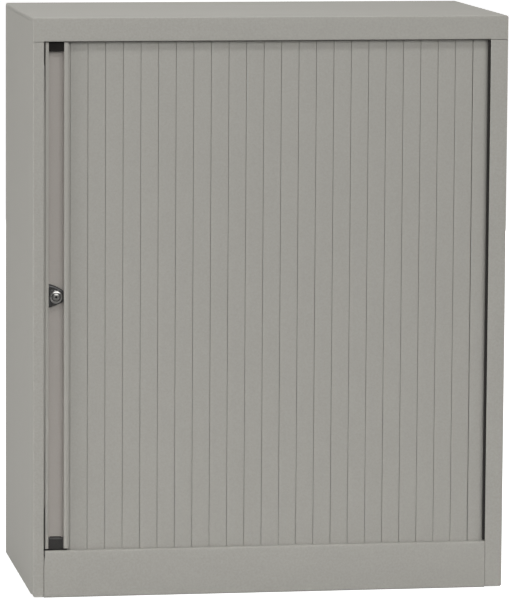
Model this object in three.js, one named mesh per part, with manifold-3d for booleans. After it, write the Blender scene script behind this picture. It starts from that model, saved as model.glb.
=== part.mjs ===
// Tambour door cabinet: folded steel carcass, a side-opening curtain of interlocking slats that runs
// in channels round the right-hand corners, a leading strip with a lock, and shelves inside.
// Millimetres. X to the right, Y to the back, Z up, origin in the middle of the footprint.
import * as THREE from 'three';
import { mergeVertices } from 'three/addons/utils/BufferGeometryUtils.js';
import Module from 'manifold-3d';

const wasm = await Module();
wasm.setup();

// Carcass
const cabinetWidth = 824;
const cabinetHeight = 1000;
const cabinetDepth = 430;
const sheet = 1.2; // steel sheet
const foldRadius = 1.5; // inner radius of a fold
const bendStep = 3.5; // inner radius that adds a facet to a bend
const leastBendSteps = 2;
const fit = 0.3; // clearance between pieces that touch
const overrun = 2; // how far a cutting shape runs past what it cuts
const headerHeight = 41.3; // front flange of the top panel
const headerReturn = 5.6; // fold under the header
const topRearFlange = 22;
const topSideFlange = 7;
const rollRadius = 3; // inner radius where the top rolls over into its side flanges
const leftStileWidth = 18.8;
const rightStileWidth = 30.1;
const hemWidth = 8; // doubled edge of a stile
const rearReturn = 14; // rear edge of a side panel, folded inwards
const sideTopFlange = 16;
const sideFoot = 1.5; // side panels end this far above the floor
const plinthHeight = 81.6;
const plinthReturn = 16;
const plinthSlotDepth = 14; // open slot between the plinth and the left stile
const plinthSlotWidth = 1.2;
const rearRailHeight = 61.2;
const panFlange = 8; // turned edges of the base and ceiling pans

// Curtain and its path
const curtainSetback = 10; // curtain face behind the cabinet front
const sideInset = 8; // curtain face inside the right side face
const rearInset = 10; // curtain face in front of the cabinet back
const cornerRadius = 34; // of the curtain face in a corner
const cornerSteps = 8;
const arcSteps = 6;

// Slats
const slatPitch = 30.4;
const slatThickness = 8;
const slatWall = 1.8;
const faceGap = 1.2; // groove between two slat faces
const beadInset = 2.6; // bead centre past the slat's own edge
const beadDepth = 4.6; // bead centre behind the slat face
const beadRadius = 1.5;
const socketClearance = 0.35;
const socketWall = 1.4;
const mouthAngle = 0.61; // half opening of the socket, in radians
const stemThickness = 1.2;
const legThickness = 1.6;
const ribThickness = 1.4;
const ribDepth = 7.6;
const ribShares = [0.3, 0.6]; // places of the two ribs, as shares of the pitch
const sideSlatCount = 4; // slats past the start of the corner with the door shut
const faceStep = 5; // longest flat stretch of a slat bent round a corner

// Channels
const trackClearance = 0.8;
const trackWall = 1.6;
const trackHeight = 10.3;
const trackFloor = 2;
const trackStart = 8; // track runs this far to the left of the opening
const trackTail = 6; // spare track past the last slat of the open curtain
const slatTopPlay = 1.3;

// Leading strip
const stripGap = 2.4; // dark gap between the left stile and the strip
const stripWidth = 39.7;
const stripSetback = 3;
const leftLip = 6;
const rightLip = 7.2;
const grooveFloorSetback = 13.5; // groove floor behind the cabinet front
const lipRadius = 1.2;
const grooveRadius = 3.5;
const stripTopGap = 1.5;
const stripFootGap = 3.5;
const slatEdgeGap = 3.8; // from the strip to the edge of the first slat
const topCapHeight = 15.8;
const footCapHeight = 22.5;
const capInset = 5; // cap face behind the strip face
const capPlate = 0.9;
const tongueInset = 1; // tongue ends inside the strip's width
const bufferLength = 6.6;

// Lock
const lockHeight = 520.8;
const flangeRadius = 11.5;
const flangeThickness = 2.5;
const barrelRadius = 9;
const barrelLength = 22; // behind the flange
const plugRadius = 6.2;
const plugProud = 0.8;
const plugRecess = 1.4; // chamfered dish of the barrel face
const keyHoleRadius = 1.6;
const keySlotLength = 5.2;
const keySlotWidth = 1.1;
const keySlotDepth = 9;
const bezelThickness = 5.2;
const bezelTopLeft = 22.5; // bezel edge above the lock centre, at its left and right
const bezelTopRight = 12.5;
const bezelFootLeft = 18; // and below the lock centre
const bezelFootRight = 12.2;
const bezelFall = 1.5; // how the edges steepen to the right
const nutRadius = 13;
const nutThickness = 4;
const nutSides = 6;
const camThickness = 2.5;
const camHubRadius = 8;
const hookRadius = 30;
const hookWidth = 5;
const hookStart = 1.31; // arc of the hook at rest, in radians up from the left
const hookEnd = 2.36;
const studRadius = 3.6;
const studLength = 3.6;
const strikeSetback = 2.4; // strike leg to the left of the opening edge
const strikeHeight = 70;
const strikeDepth = 24;
const strikeSlotFoot = 9; // slot above the lock centre
const strikeSlotTop = 31;

// Inside
const linerFrontEdge = 55; // liner begins this far behind the cabinet front
const linerReturn = 20;
const linerFoldRadius = 24;
const linerLap = 30;
const uprightWidth = 28;
const uprightDepth = 12;
const uprightThickness = 1.5;
const uprightFrontSetback = 62;
const uprightRearInset = 50;
const slotPitch = 50;
const slotWidth = 12;
const slotHeight = 5;
const firstSlot = 120; // above the floor
const slotTopMargin = 60;
const shelfSlots = [4, 10]; // slots that carry the shelves, counted from the lowest
const shelfEdge = 25;
const shelfFrontSetback = 60;
const shelfRearGap = 6;
const lugLength = 4.4;
const lugWidth = 10;

// Finishes
const finish = (color, roughness, metalness) => (
  new THREE.MeshStandardMaterial({ color, roughness, metalness })
);
const paintedSteel = () => finish(0x9b9992, 0.55, 0.1);
const slatPlastic = () => finish(0x999791, 0.6, 0);
const stripMetal = () => finish(0x97938d, 0.5, 0.1);
const blackPlastic = () => finish(0x1d1b19, 0.5, 0);
const chrome = () => finish(0xc8c7c4, 0.2, 1);
const zinc = () => finish(0xa9a9a6, 0.4, 1);
const greyPlastic = () => finish(0x6f6d69, 0.6, 0);
const rubber = () => finish(0x242321, 0.8, 0);

// Planes that several pieces share
const halfWidth = cabinetWidth / 2;
const front = -cabinetDepth / 2;
const back = cabinetDepth / 2;
const openingLeft = -halfWidth + leftStileWidth;
const openingRight = halfWidth - rightStileWidth;
const openingTop = cabinetHeight - headerHeight;
const insideWall = halfWidth - sheet - fit; // what stands against the inside of a side panel
const backPanelFace = back - sheet - fit - sheet; // inner face of the back panel
const panFront = front + 2 * sheet + fit; // clear of the doubled edges of the stiles
const panRear = backPanelFace - fit;
const bottomTrackFoot = plinthHeight - fit - trackHeight;
const topTrackFoot = openingTop + sheet + fit;
const curtainFront = front + curtainSetback;
const curtainSide = halfWidth - sideInset;
const curtainRear = back - rearInset;
const cornerX = curtainSide - cornerRadius;
const frontCornerY = curtainFront + cornerRadius;
const rearCornerY = curtainRear - cornerRadius;
const cornerRun = cornerRadius * Math.PI / 2;
const sideRun = rearCornerY - frontCornerY;
const trackOuter = -trackClearance - trackWall; // depths behind the curtain face
const trackInner = slatThickness + trackClearance + trackWall;
const stripLeft = openingLeft + stripGap;
const stripRight = stripLeft + stripWidth;
const stripFace = front + stripSetback;
const stripFoot = plinthHeight + stripFootGap;
const stripTop = openingTop - stripTopGap;
const slatsLeft = stripRight + slatEdgeGap;
const flatSlatCount = Math.floor((cornerX - slatsLeft) / slatPitch);
const slatFoot = bottomTrackFoot + trackFloor + fit;
const slatTop = topTrackFoot + trackHeight - trackFloor - slatTopPlay;
const linerX = curtainSide - trackInner - fit; // outer face of the right liner
const linerY = curtainRear - trackInner - fit; // rear face of the back liner
const grooveLeft = stripLeft + leftLip;
const grooveRight = stripRight - rightLip;
const grooveFloor = front + grooveFloorSetback;
const lockX = (grooveLeft + grooveRight) / 2;
const stripRear = curtainFront + beadDepth + beadRadius + socketClearance + socketWall;

// Solids

const toSolid = (geometry) => {
  const bare = geometry.clone();
  bare.deleteAttribute('normal');
  bare.deleteAttribute('uv');
  const merged = mergeVertices(bare);
  return new wasm.Manifold(new wasm.Mesh({
    numProp: 3,
    vertProperties: merged.attributes.position.array,
    triVerts: new Uint32Array(merged.index.array),
  }));
};

const toGeometry = (solid) => {
  const mesh = solid.getMesh();
  const geometry = new THREE.BufferGeometry();
  geometry.setAttribute('position', new THREE.BufferAttribute(mesh.vertProperties, mesh.numProp));
  geometry.setIndex(new THREE.BufferAttribute(mesh.triVerts, 1));
  geometry.computeVertexNormals();
  return geometry;
};

const join = (first, ...others) => others.reduce((whole, next) => whole.add(next), first);
const cut = (first, ...others) => others.reduce((whole, next) => whole.subtract(next), first);

const span = (a, b) => [Math.min(a, b), Math.max(a, b)];

function block(x0, x1, y0, y1, z0, z1) {
  const geometry = new THREE.BoxGeometry(x1 - x0, y1 - y0, z1 - z0);
  geometry.translate((x0 + x1) / 2, (y0 + y1) / 2, (z0 + z1) / 2);
  return toSolid(geometry);
}

// A prism of an outline. The three forms read the outline as (x, y), (y, z) and (z, x).
const extrude = (outline, from, to, placeAxes) => {
  const shape = new THREE.Shape(outline.map(([a, b]) => new THREE.Vector2(a, b)));
  const geometry = new THREE.ExtrudeGeometry(shape, { depth: to - from, bevelEnabled: false });
  geometry.translate(0, 0, from);
  geometry.applyMatrix4(placeAxes);
  return toSolid(geometry);
};
const xAxis = new THREE.Vector3(1, 0, 0);
const yAxis = new THREE.Vector3(0, 1, 0);
const zAxis = new THREE.Vector3(0, 0, 1);
const alongZ = new THREE.Matrix4().makeBasis(xAxis, yAxis, zAxis);
const alongX = new THREE.Matrix4().makeBasis(yAxis, zAxis, xAxis);
const alongY = new THREE.Matrix4().makeBasis(zAxis, xAxis, yAxis);
const prismZ = (outline, z0, z1) => extrude(outline, z0, z1, alongZ);
const prismX = (outline, x0, x1) => extrude(outline, x0, x1, alongX);
const prismY = (outline, y0, y1) => extrude(outline, y0, y1, alongY);

// A round rod or disc along Y.
function rodY(x, z, radius, y0, y1, sides = 32) {
  const geometry = new THREE.CylinderGeometry(radius, radius, y1 - y0, sides);
  geometry.translate(x, (y0 + y1) / 2, z);
  return toSolid(geometry);
}

const arc = (cx, cy, radius, from, to, steps) => Array.from({ length: steps + 1 }, (_, i) => {
  const angle = from + (to - from) * i / steps;
  return [cx + radius * Math.cos(angle), cy + radius * Math.sin(angle)];
});

// Outline of a folded sheet. The path is one face of the sheet, and the sheet lies to its left.
// Each bend has an inner radius, the same for all or one for each inner point of the path.
function foldedSheet(path, thickness = sheet, radii = foldRadius) {
  const headings = path.slice(1).map(([x, y], i) => {
    const [dx, dy] = [x - path[i][0], y - path[i][1]];
    const length = Math.hypot(dx, dy);
    return [dx / length, dy / length];
  });
  const face = (depth) => path.flatMap(([x, y], i) => {
    const before = headings[i - 1] ?? headings[i];
    const after = headings[i] ?? before;
    const share = depth / (1 + before[0] * after[0] + before[1] * after[1]);
    const corner = [x - share * (before[1] + after[1]), y + share * (before[0] + after[0])];
    const cross = before[0] * after[1] - before[1] * after[0];
    const turn = Math.atan2(cross, before[0] * after[0] + before[1] * after[1]);
    if (i === 0 || i === path.length - 1 || Math.abs(turn) === 0) {
      return [corner];
    }
    const inner = Array.isArray(radii) ? radii[i - 1] : radii;
    const side = Math.sign(turn);
    const radius = inner + (side > 0 ? thickness - depth : depth);
    const reach = radius * Math.tan(Math.abs(turn) / 2);
    const startAngle = Math.atan2(-side * before[0], side * before[1]);
    const centreX = corner[0] - reach * before[0] - side * radius * before[1];
    const centreY = corner[1] - reach * before[1] + side * radius * before[0];
    const steps = Math.max(leastBendSteps, Math.ceil(inner / bendStep));
    return arc(centreX, centreY, radius, startAngle, startAngle + turn, steps);
  });
  return [...face(0), ...face(thickness).reverse()];
}

// A tray: a plate with turned edges on all four sides. Edge heights are below zero for a turn
// downwards. The plate's outer face is at z, and the sheet lies on the side of the turned edges.
function tray(x0, x1, y0, y1, z, edge, corner = foldRadius + sheet) {
  const tip = z + edge;
  const acrossX = [[y0, tip], [y0, z], [y1, z], [y1, tip]];
  const acrossY = [[tip, x1], [z, x1], [z, x0], [tip, x0]];
  const inOrder = (path) => (edge < 0 ? path.reverse() : path);
  return join(
    prismX(foldedSheet(inOrder(acrossX)), x0 + corner, x1 - corner),
    prismY(foldedSheet(inOrder(acrossY)), y0 + corner, y1 - corner),
  );
}

// A point of the curtain. The run goes along its face, from zero where the front corner begins
// (below zero on the front), and the depth is behind the face.
function curtainPoint(run, depth) {
  const radius = cornerRadius - depth;
  if (run <= 0) {
    return [cornerX + run, curtainFront + depth];
  }
  if (run <= cornerRun) {
    const angle = run / cornerRadius;
    return [cornerX + radius * Math.sin(angle), frontCornerY - radius * Math.cos(angle)];
  }
  const pastCorner = run - cornerRun;
  if (pastCorner <= sideRun) {
    return [curtainSide - depth, frontCornerY + pastCorner];
  }
  const pastSide = pastCorner - sideRun;
  if (pastSide <= cornerRun) {
    const angle = pastSide / cornerRadius;
    return [cornerX + radius * Math.cos(angle), rearCornerY + radius * Math.sin(angle)];
  }
  return [cornerX - (pastSide - cornerRun), curtainRear - depth];
}

// Outline of a band along the curtain's path, between two runs and two depths.
function curtainBand(fromRun, toRun, nearDepth, farDepth) {
  const shares = Array.from({ length: cornerSteps + 1 }, (_, i) => i / cornerSteps);
  const bend = (start) => shares.map((share) => start + cornerRun * share);
  const inside = [...bend(0), ...bend(cornerRun + sideRun)].filter((run) => run > fromRun && run < toRun);
  const runs = [fromRun, ...inside, toRun];
  return [
    ...runs.map((run) => curtainPoint(run, nearDepth)),
    ...runs.map((run) => curtainPoint(run, farDepth)).reverse(),
  ];
}

// The socket that holds the next slat's bead, as (run, depth) from where its round wall leaves the
// slat at one angle to where it comes back at the other.
function socketOutline(centreRun, fromAngle, toAngle) {
  const inner = beadRadius + socketClearance;
  const outer = inner + socketWall;
  return [
    ...arc(centreRun, beadDepth, outer, fromAngle, -mouthAngle, 2),
    ...arc(centreRun, beadDepth, inner, -mouthAngle, mouthAngle - 2 * Math.PI, arcSteps + 2),
    ...arc(centreRun, beadDepth, outer, mouthAngle, toAngle, arcSteps + 2),
  ];
}

// Cross-section of one slat as (run, depth), with its left edge at run zero.
function slatSection() {
  const left = faceGap / 2;
  const right = slatPitch - faceGap / 2;
  const socketRun = slatPitch - beadInset;
  const socketOuter = beadRadius + socketClearance + socketWall;
  const meet = Math.asin((beadDepth - slatWall) / socketOuter);
  const stem = stemThickness / 2;
  const neck = Math.asin(stem / beadRadius);
  const ribs = [...ribShares].reverse().flatMap((share) => {
    const middle = share * slatPitch;
    return [
      [middle + ribThickness / 2, slatWall],
      [middle + ribThickness / 2, ribDepth],
      [middle - ribThickness / 2, ribDepth],
      [middle - ribThickness / 2, slatWall],
    ];
  });
  return [
    [left, 0],
    [right, 0],
    [right, slatWall],
    ...socketOutline(socketRun, -meet, Math.PI + meet),
    ...ribs,
    [left + legThickness, slatWall],
    [left + legThickness, beadDepth + stem],
    ...arc(-beadInset, beadDepth, beadRadius, neck, 2 * Math.PI - neck, arcSteps + 2),
    [left, beadDepth - stem],
  ];
}

// The section carried along the path. Long stretches are divided where the path bends.
function slatOutline(startRun) {
  const section = slatSection();
  const bends = startRun + slatPitch > 0 && startRun < cornerRun;
  const fine = section.flatMap(([run, depth], i) => {
    const [nextRun, nextDepth] = section[(i + 1) % section.length];
    const parts = bends ? Math.ceil(Math.abs(nextRun - run) / faceStep) || 1 : 1;
    return Array.from({ length: parts }, (_, k) => [
      run + (nextRun - run) * k / parts,
      depth + (nextDepth - depth) * k / parts,
    ]);
  });
  return fine.map(([run, depth]) => curtainPoint(startRun + run, depth));
}

// Pieces

const cabinet = new THREE.Group();
function add(name, solid, material) {
  const mesh = new THREE.Mesh(toGeometry(solid), material);
  mesh.name = name;
  cabinet.add(mesh);
}

// The top: a header flange in front, a flange behind and side edges that roll over into flanges.
function topPanel() {
  const section = foldedSheet([
    [front + sheet + headerReturn, openingTop],
    [front, openingTop],
    [front, cabinetHeight],
    [back, cabinetHeight],
    [back, cabinetHeight - topRearFlange],
  ].reverse());
  const outerRoll = rollRadius + sheet;
  const flat = halfWidth - outerRoll;
  const flangeTip = cabinetHeight - topSideFlange;
  const across = foldedSheet([
    [flangeTip, halfWidth], [cabinetHeight, halfWidth], [cabinetHeight, -halfWidth], [flangeTip, -halfWidth],
  ].reverse(), sheet, rollRadius);
  const headerEnds = [-1, 1].map((side) => block(
    ...span(side * halfWidth, side * (flat - overrun)), front, front + sheet,
    openingTop, cabinetHeight - outerRoll,
  ));
  const panel = join(
    prismX(section, -flat, flat),
    prismY(across, front + sheet + foldRadius, back - sheet - foldRadius),
    ...headerEnds,
  );
  const relief = (side, stileWidth) => block(
    ...span(side * (halfWidth - stileWidth + fit), side * (halfWidth + overrun)),
    front + sheet, front + sheet + headerReturn + overrun,
    openingTop - overrun, openingTop + sheet + foldRadius,
  );
  return cut(panel, relief(-1, leftStileWidth), relief(1, rightStileWidth));
}

// A side panel, seen in plan: stile with a doubled edge, side and rear return. Side is -1 or 1.
function sidePanel(side, stileWidth) {
  const stileTop = openingTop - fit;
  const wallTop = cabinetHeight - topSideFlange - fit;
  const outer = side * halfWidth;
  const inner = outer - side * sheet;
  const edge = outer - side * stileWidth;
  const returnEdge = outer - side * rearReturn;
  const path = [[edge, front], [outer, front], [outer, back], [returnEdge, back]];
  const folded = prismZ(foldedSheet(side < 0 ? path.reverse() : path), sideFoot, stileTop);
  const nearY = front + sheet + fit;
  const wall = block(...span(outer, inner), nearY, back - sheet - fit, stileTop - overrun, wallTop);
  const hem = block(
    ...span(edge, edge + side * hemWidth), front + sheet / 2, front + 2 * sheet, sideFoot, stileTop,
  );
  const topFlange = block(
    ...span(inner + side * sheet / 2, outer - side * sideTopFlange), nearY + foldRadius, backPanelFace - fit,
    wallTop - sheet, wallTop,
  );
  const belowTopFlange = cabinetHeight - topRearFlange - fit;
  const rearStrip = block(...span(outer, returnEdge), back - sheet, back, stileTop - overrun, belowTopFlange);
  const rearCorner = block(
    ...span(outer, inner), back - sheet - fit - overrun, back, stileTop - overrun, belowTopFlange,
  );
  return join(folded, wall, hem, topFlange, rearStrip, rearCorner);
}

function backPanel() {
  const foot = rearRailHeight + fit;
  const top = cabinetHeight - sheet - foldRadius;
  const reach = halfWidth - sheet - foldRadius;
  return block(-reach, reach, backPanelFace, backPanelFace + sheet, foot, top);
}

function plinthPanel() {
  const left = openingLeft + fit;
  const right = openingRight - fit;
  const ledge = curtainSetback + trackOuter - fit;
  const section = foldedSheet([
    [front + plinthReturn, 0],
    [front, 0],
    [front, plinthHeight],
    [front + ledge, plinthHeight],
  ].reverse());
  const slotFoot = plinthHeight - plinthSlotDepth;
  const slot = block(
    left - overrun, left + plinthSlotWidth, front - overrun, front + plinthReturn + overrun,
    slotFoot, plinthHeight + overrun,
  );
  return cut(prismX(section, left, right), slot);
}

function rearRail() {
  const reach = halfWidth - rearReturn - fit;
  const section = foldedSheet([
    [back - plinthReturn, 0],
    [back, 0],
    [back, rearRailHeight],
    [back - plinthReturn, rearRailHeight],
  ]);
  return prismX(section, -reach, reach);
}

const basePan = () => tray(
  -insideWall, insideWall, panFront, panRear, bottomTrackFoot - fit, -panFlange,
);

const ceilingPan = () => tray(
  -insideWall, insideWall, panFront, panRear, topTrackFoot + trackHeight + fit, panFlange,
);

// The channel: a band along the whole path with a groove in one face. The open door stands where
// the last flat slat was, so its travel is one pitch for each flat slat.
const doorTravel = flatSlatCount * slatPitch;
const tailRun = doorTravel + slatsLeft + (flatSlatCount + sideSlatCount) * slatPitch - cornerX;
const trackStartRun = openingLeft - trackStart - cornerX;
function track(foot, openTop) {
  const endRun = tailRun + trackTail;
  const band = prismZ(curtainBand(trackStartRun, endRun, trackOuter, trackInner), foot, foot + trackHeight);
  const groove = curtainBand(
    trackStartRun + trackWall, endRun - trackWall, trackOuter + trackWall, trackInner - trackWall,
  );
  const grooveFoot = openTop ? foot + trackFloor : foot - overrun;
  const grooveTop = openTop ? foot + trackHeight + overrun : foot + trackHeight - trackFloor;
  return cut(band, prismZ(groove, grooveFoot, grooveTop));
}

function rightLiner() {
  const frontEdge = front + linerFrontEdge;
  const section = foldedSheet(
    [
      [linerX - linerReturn, frontEdge],
      [linerX, frontEdge],
      [linerX, linerY - sheet - fit],
      [linerX - linerFoldRadius - linerLap, linerY - sheet - fit],
    ],
    sheet,
    [foldRadius, linerFoldRadius],
  );
  return prismZ(section, plinthHeight + fit, topTrackFoot + trackHeight);
}

function backLiner() {
  const right = linerX - linerFoldRadius - sheet - foldRadius;
  return block(-insideWall, right, linerY - sheet, linerY, plinthHeight + fit, topTrackFoot + trackHeight);
}

// The floor of the storage space: a tray that opens downwards, its right corners rounded to follow
// the channel.
function innerFloor() {
  const outline = (inset) => {
    const left = -insideWall + inset;
    const radius = cornerRadius - trackInner - fit - inset;
    return [
      [left, frontCornerY - radius],
      ...arc(cornerX, frontCornerY, radius, -Math.PI / 2, 0, cornerSteps),
      ...arc(cornerX, rearCornerY, radius, 0, Math.PI / 2, cornerSteps),
      [left, rearCornerY + radius],
    ];
  };
  const slab = prismZ(outline(0), bottomTrackFoot, plinthHeight);
  return cut(slab, prismZ(outline(sheet), bottomTrackFoot - overrun, plinthHeight - sheet));
}

const slotCount = Math.floor((openingTop - slotTopMargin - firstSlot) / slotPitch) + 1;

// A slotted upright: a shallow channel against a wall, open towards it. Side is -1 on the left.
function upright(side, wallX, y0) {
  const y1 = y0 + uprightWidth;
  const faceX = wallX - side * uprightDepth;
  const path = side < 0
    ? [[wallX, y0], [faceX, y0], [faceX, y1], [wallX, y1]]
    : [[wallX, y1], [faceX, y1], [faceX, y0], [wallX, y0]];
  const section = foldedSheet(path, uprightThickness);
  const body = prismZ(section, plinthHeight + fit, topTrackFoot);
  const middle = (y0 + y1) / 2;
  const slots = Array.from({ length: slotCount }, (_, i) => {
    const z = firstSlot + i * slotPitch;
    return block(
      faceX - uprightThickness - overrun, faceX + uprightThickness + overrun,
      middle - slotWidth / 2, middle + slotWidth / 2, z - slotHeight / 2, z + slotHeight / 2,
    );
  });
  return cut(body, ...slots);
}

const leftWall = -insideWall;
const rightWall = linerX - sheet - fit;
const frontUprightY = front + uprightFrontSetback;
const rearUprightY = back - uprightRearInset - uprightWidth;

// A shelf: a tray that opens downwards, with four lugs that go through slots of the uprights.
function shelf(slot) {
  const lugZ = firstSlot + slot * slotPitch;
  const left = leftWall + uprightDepth + fit;
  const right = rightWall - uprightDepth - fit;
  const top = lugZ + sheet / 2 + shelfEdge / 2;
  const rear = linerY - 2 * sheet - shelfRearGap;
  const plate = tray(left, right, front + shelfFrontSetback, rear, top, -shelfEdge);
  const lugs = [frontUprightY, rearUprightY].flatMap((y) => {
    const middle = y + uprightWidth / 2;
    const lug = (x0, x1) => block(
      x0, x1, middle - lugWidth / 2, middle + lugWidth / 2,
      lugZ - slotHeight / 2 + fit, lugZ + slotHeight / 2 - fit,
    );
    return [lug(left - lugLength, left + sheet / 2), lug(right - sheet / 2, right + lugLength)];
  });
  return join(plate, ...lugs);
}

// The leading strip: two lips, a finger groove between them and the first socket at its right.
function leadingStrip() {
  const socketX = slatsLeft - beadInset;
  const socketY = curtainFront + beadDepth;
  const socketOuter = beadRadius + socketClearance + socketWall;
  const meet = Math.acos((stripRight - socketX) / socketOuter);
  const socket = socketOutline(0, -meet, Math.PI / 2)
    .map(([run, depth]) => [socketX + run, curtainFront + depth]);
  const outline = [
    ...arc(stripLeft + lipRadius, stripFace + lipRadius, lipRadius, -Math.PI, -Math.PI / 2, 3),
    ...arc(grooveLeft - lipRadius, stripFace + lipRadius, lipRadius, -Math.PI / 2, 0, 3),
    ...arc(grooveLeft + grooveRadius, grooveFloor - grooveRadius, grooveRadius, Math.PI, Math.PI / 2, 4),
    ...arc(grooveRight - grooveRadius, grooveFloor - grooveRadius, grooveRadius, Math.PI / 2, 0, 4),
    ...arc(grooveRight + lipRadius, stripFace + lipRadius, lipRadius, -Math.PI, -Math.PI / 2, 3),
    ...arc(stripRight - lipRadius, stripFace + lipRadius, lipRadius, -Math.PI / 2, 0, 3),
    ...socket,
    [stripLeft, socketY + socketOuter],
  ];
  const body = prismZ(outline, stripFoot, stripTop);
  return cut(body, rodY(lockX, lockHeight, barrelRadius + fit, grooveFloor - overrun, stripRear + overrun));
}

// An end cap fills the groove, covers the strip's end and has a tongue that runs in the channel.
// Sign is 1 at the top and -1 at the foot.
function stripCap(sign, stripEnd, height, tongueEnd) {
  const plateEnd = stripEnd + sign * (fit + capPlate);
  const plug = block(
    grooveLeft + fit, grooveRight - fit, stripFace + capInset, grooveFloor - grooveRadius,
    ...span(stripEnd - sign * height, plateEnd),
  );
  const toe = block(
    grooveLeft + grooveRadius, grooveRight - grooveRadius,
    grooveFloor - grooveRadius - overrun, grooveFloor - fit,
    ...span(stripEnd - sign * height, plateEnd),
  );
  const plate = block(
    stripLeft + tongueInset, stripRight - tongueInset, grooveFloor - grooveRadius - overrun, stripRear - fit,
    ...span(stripEnd + sign * fit, plateEnd),
  );
  const tongue = block(
    stripLeft + tongueInset, stripRight - tongueInset, curtainFront + fit, stripRear - fit,
    ...span(stripEnd + sign * fit, tongueEnd),
  );
  return join(plug, toe, plate, tongue);
}

function closingBuffer(foot, top) {
  const right = stripLeft + tongueInset - fit;
  return block(
    right - bufferLength, right, curtainFront + trackOuter + trackWall + fit,
    curtainFront + trackInner - trackWall - fit, foot, top,
  );
}

// The bezel: a black escutcheon that fills the groove round the lock, higher at its left. Its top and
// foot fall to the right along arcs.
function lockBezel() {
  const left = grooveLeft + fit;
  const right = grooveRight - fit;
  const rear = grooveFloor - fit;
  const edge = (heightLeft, heightRight) => Array.from({ length: arcSteps + 1 }, (_, i) => {
    const share = i / arcSteps;
    const height = heightLeft + (heightRight - heightLeft) * share ** bezelFall;
    return [lockHeight + height, left + (right - left) * share];
  });
  const outline = [...edge(bezelTopLeft, bezelTopRight), ...edge(-bezelFootLeft, -bezelFootRight).reverse()];
  const face = rear - bezelThickness;
  const body = prismY(outline, face, rear);
  const behindRounding = (x0, x1) => block(
    x0, x1, grooveFloor - grooveRadius, rear + overrun,
    lockHeight - bezelFootLeft - overrun, lockHeight + bezelTopLeft + overrun,
  );
  return cut(
    body,
    behindRounding(left - overrun, grooveLeft + grooveRadius),
    behindRounding(grooveRight - grooveRadius, right + overrun),
    rodY(lockX, lockHeight, barrelRadius + fit, face - overrun, rear + overrun),
  );
}

const bezelFace = grooveFloor - fit - bezelThickness;
const flangeRear = bezelFace - fit;
const flangeFace = flangeRear - flangeThickness;
const barrelRear = flangeRear + barrelLength;

// Turns a profile of (radius, way back from the flange face) about the lock's axis.
function turned(profile, sides = 32) {
  const closed = [...profile, profile[0]].map(([radius, way]) => new THREE.Vector2(radius, way));
  const geometry = new THREE.LatheGeometry(closed, sides);
  geometry.translate(lockX, flangeFace, lockHeight);
  return toSolid(geometry);
}

function lockBarrel() {
  const bore = plugRadius + fit;
  return turned([
    [bore, barrelLength + flangeThickness],
    [bore, plugRecess],
    [flangeRadius - plugRecess * 2, plugRecess / 3],
    [flangeRadius - plugRecess, 0],
    [flangeRadius, plugRecess / 2],
    [flangeRadius, flangeThickness],
    [barrelRadius, flangeThickness],
    [barrelRadius, barrelLength + flangeThickness],
  ]);
}

function lockPlug() {
  const face = flangeFace + plugRecess - plugProud;
  const body = join(
    rodY(lockX, lockHeight, plugRadius, face, barrelRear - fit),
    rodY(lockX, lockHeight, studRadius, barrelRear - overrun, barrelRear + studLength),
  );
  const hole = rodY(lockX, lockHeight, keyHoleRadius, face - overrun, face + keySlotDepth, 16);
  const slot = block(
    lockX - keySlotWidth / 2, lockX + keySlotWidth / 2, face - overrun, face + keySlotDepth,
    lockHeight - keySlotLength / 2, lockHeight + keySlotLength / 2,
  );
  return cut(body, hole, slot);
}

function lockNut() {
  const near = stripRear + fit;
  const far = near + nutThickness;
  const ring = rodY(lockX, lockHeight, nutRadius, near, far, nutSides);
  return cut(ring, rodY(lockX, lockHeight, barrelRadius + fit, near - overrun, far + overrun));
}

// The cam: a hub, an arm and a hook that is an arc about the lock's axis, so it passes into the
// strike's slot along its own line.
function lockCam() {
  const near = barrelRear + fit;
  const far = near + camThickness;
  const toPlane = ([x, z]) => [z, x];
  const mirroredArc = (radius, from, to) => arc(0, 0, radius, from, to, cornerSteps)
    .map(([a, b]) => toPlane([lockX - a, lockHeight + b]));
  const hook = prismY([
    ...mirroredArc(hookRadius + hookWidth / 2, hookStart, hookEnd),
    ...mirroredArc(hookRadius - hookWidth / 2, hookEnd, hookStart),
  ], near, far);
  const armHalf = hookWidth / 2;
  const along = [Math.cos(hookEnd), Math.sin(hookEnd)];
  const across = [-along[1], along[0]];
  const armPoint = (reach, aside) => toPlane([
    lockX - (along[0] * reach + across[0] * aside), lockHeight + along[1] * reach + across[1] * aside,
  ]);
  const arm = prismY([
    armPoint(0, -2 * armHalf), armPoint(hookRadius + armHalf, -2 * armHalf),
    armPoint(hookRadius + armHalf, 0), armPoint(0, 0),
  ], near, far);
  const hub = rodY(lockX, lockHeight, camHubRadius, near, far);
  return cut(join(hub, arm, hook), rodY(lockX, lockHeight, studRadius + fit, near - overrun, far + overrun));
}

// The strike: a folded bracket on the left side panel. Its front leg stands beside the cam's path
// and the hook goes through its slot.
function strikePlate() {
  const camNear = barrelRear + fit;
  const rear = camNear + camThickness + strikeDepth / 4;
  const near = rear - strikeDepth;
  const legX = openingLeft - strikeSetback;
  const section = foldedSheet([[leftWall, near], [leftWall, rear], [legX, rear], [legX, near]].reverse());
  const foot = lockHeight - strikeHeight / 2;
  const slot = block(
    legX - sheet - overrun, legX + overrun, camNear - overrun, camNear + camThickness + overrun,
    lockHeight + strikeSlotFoot, lockHeight + strikeSlotTop,
  );
  return cut(prismZ(section, foot, foot + strikeHeight), slot);
}

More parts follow.
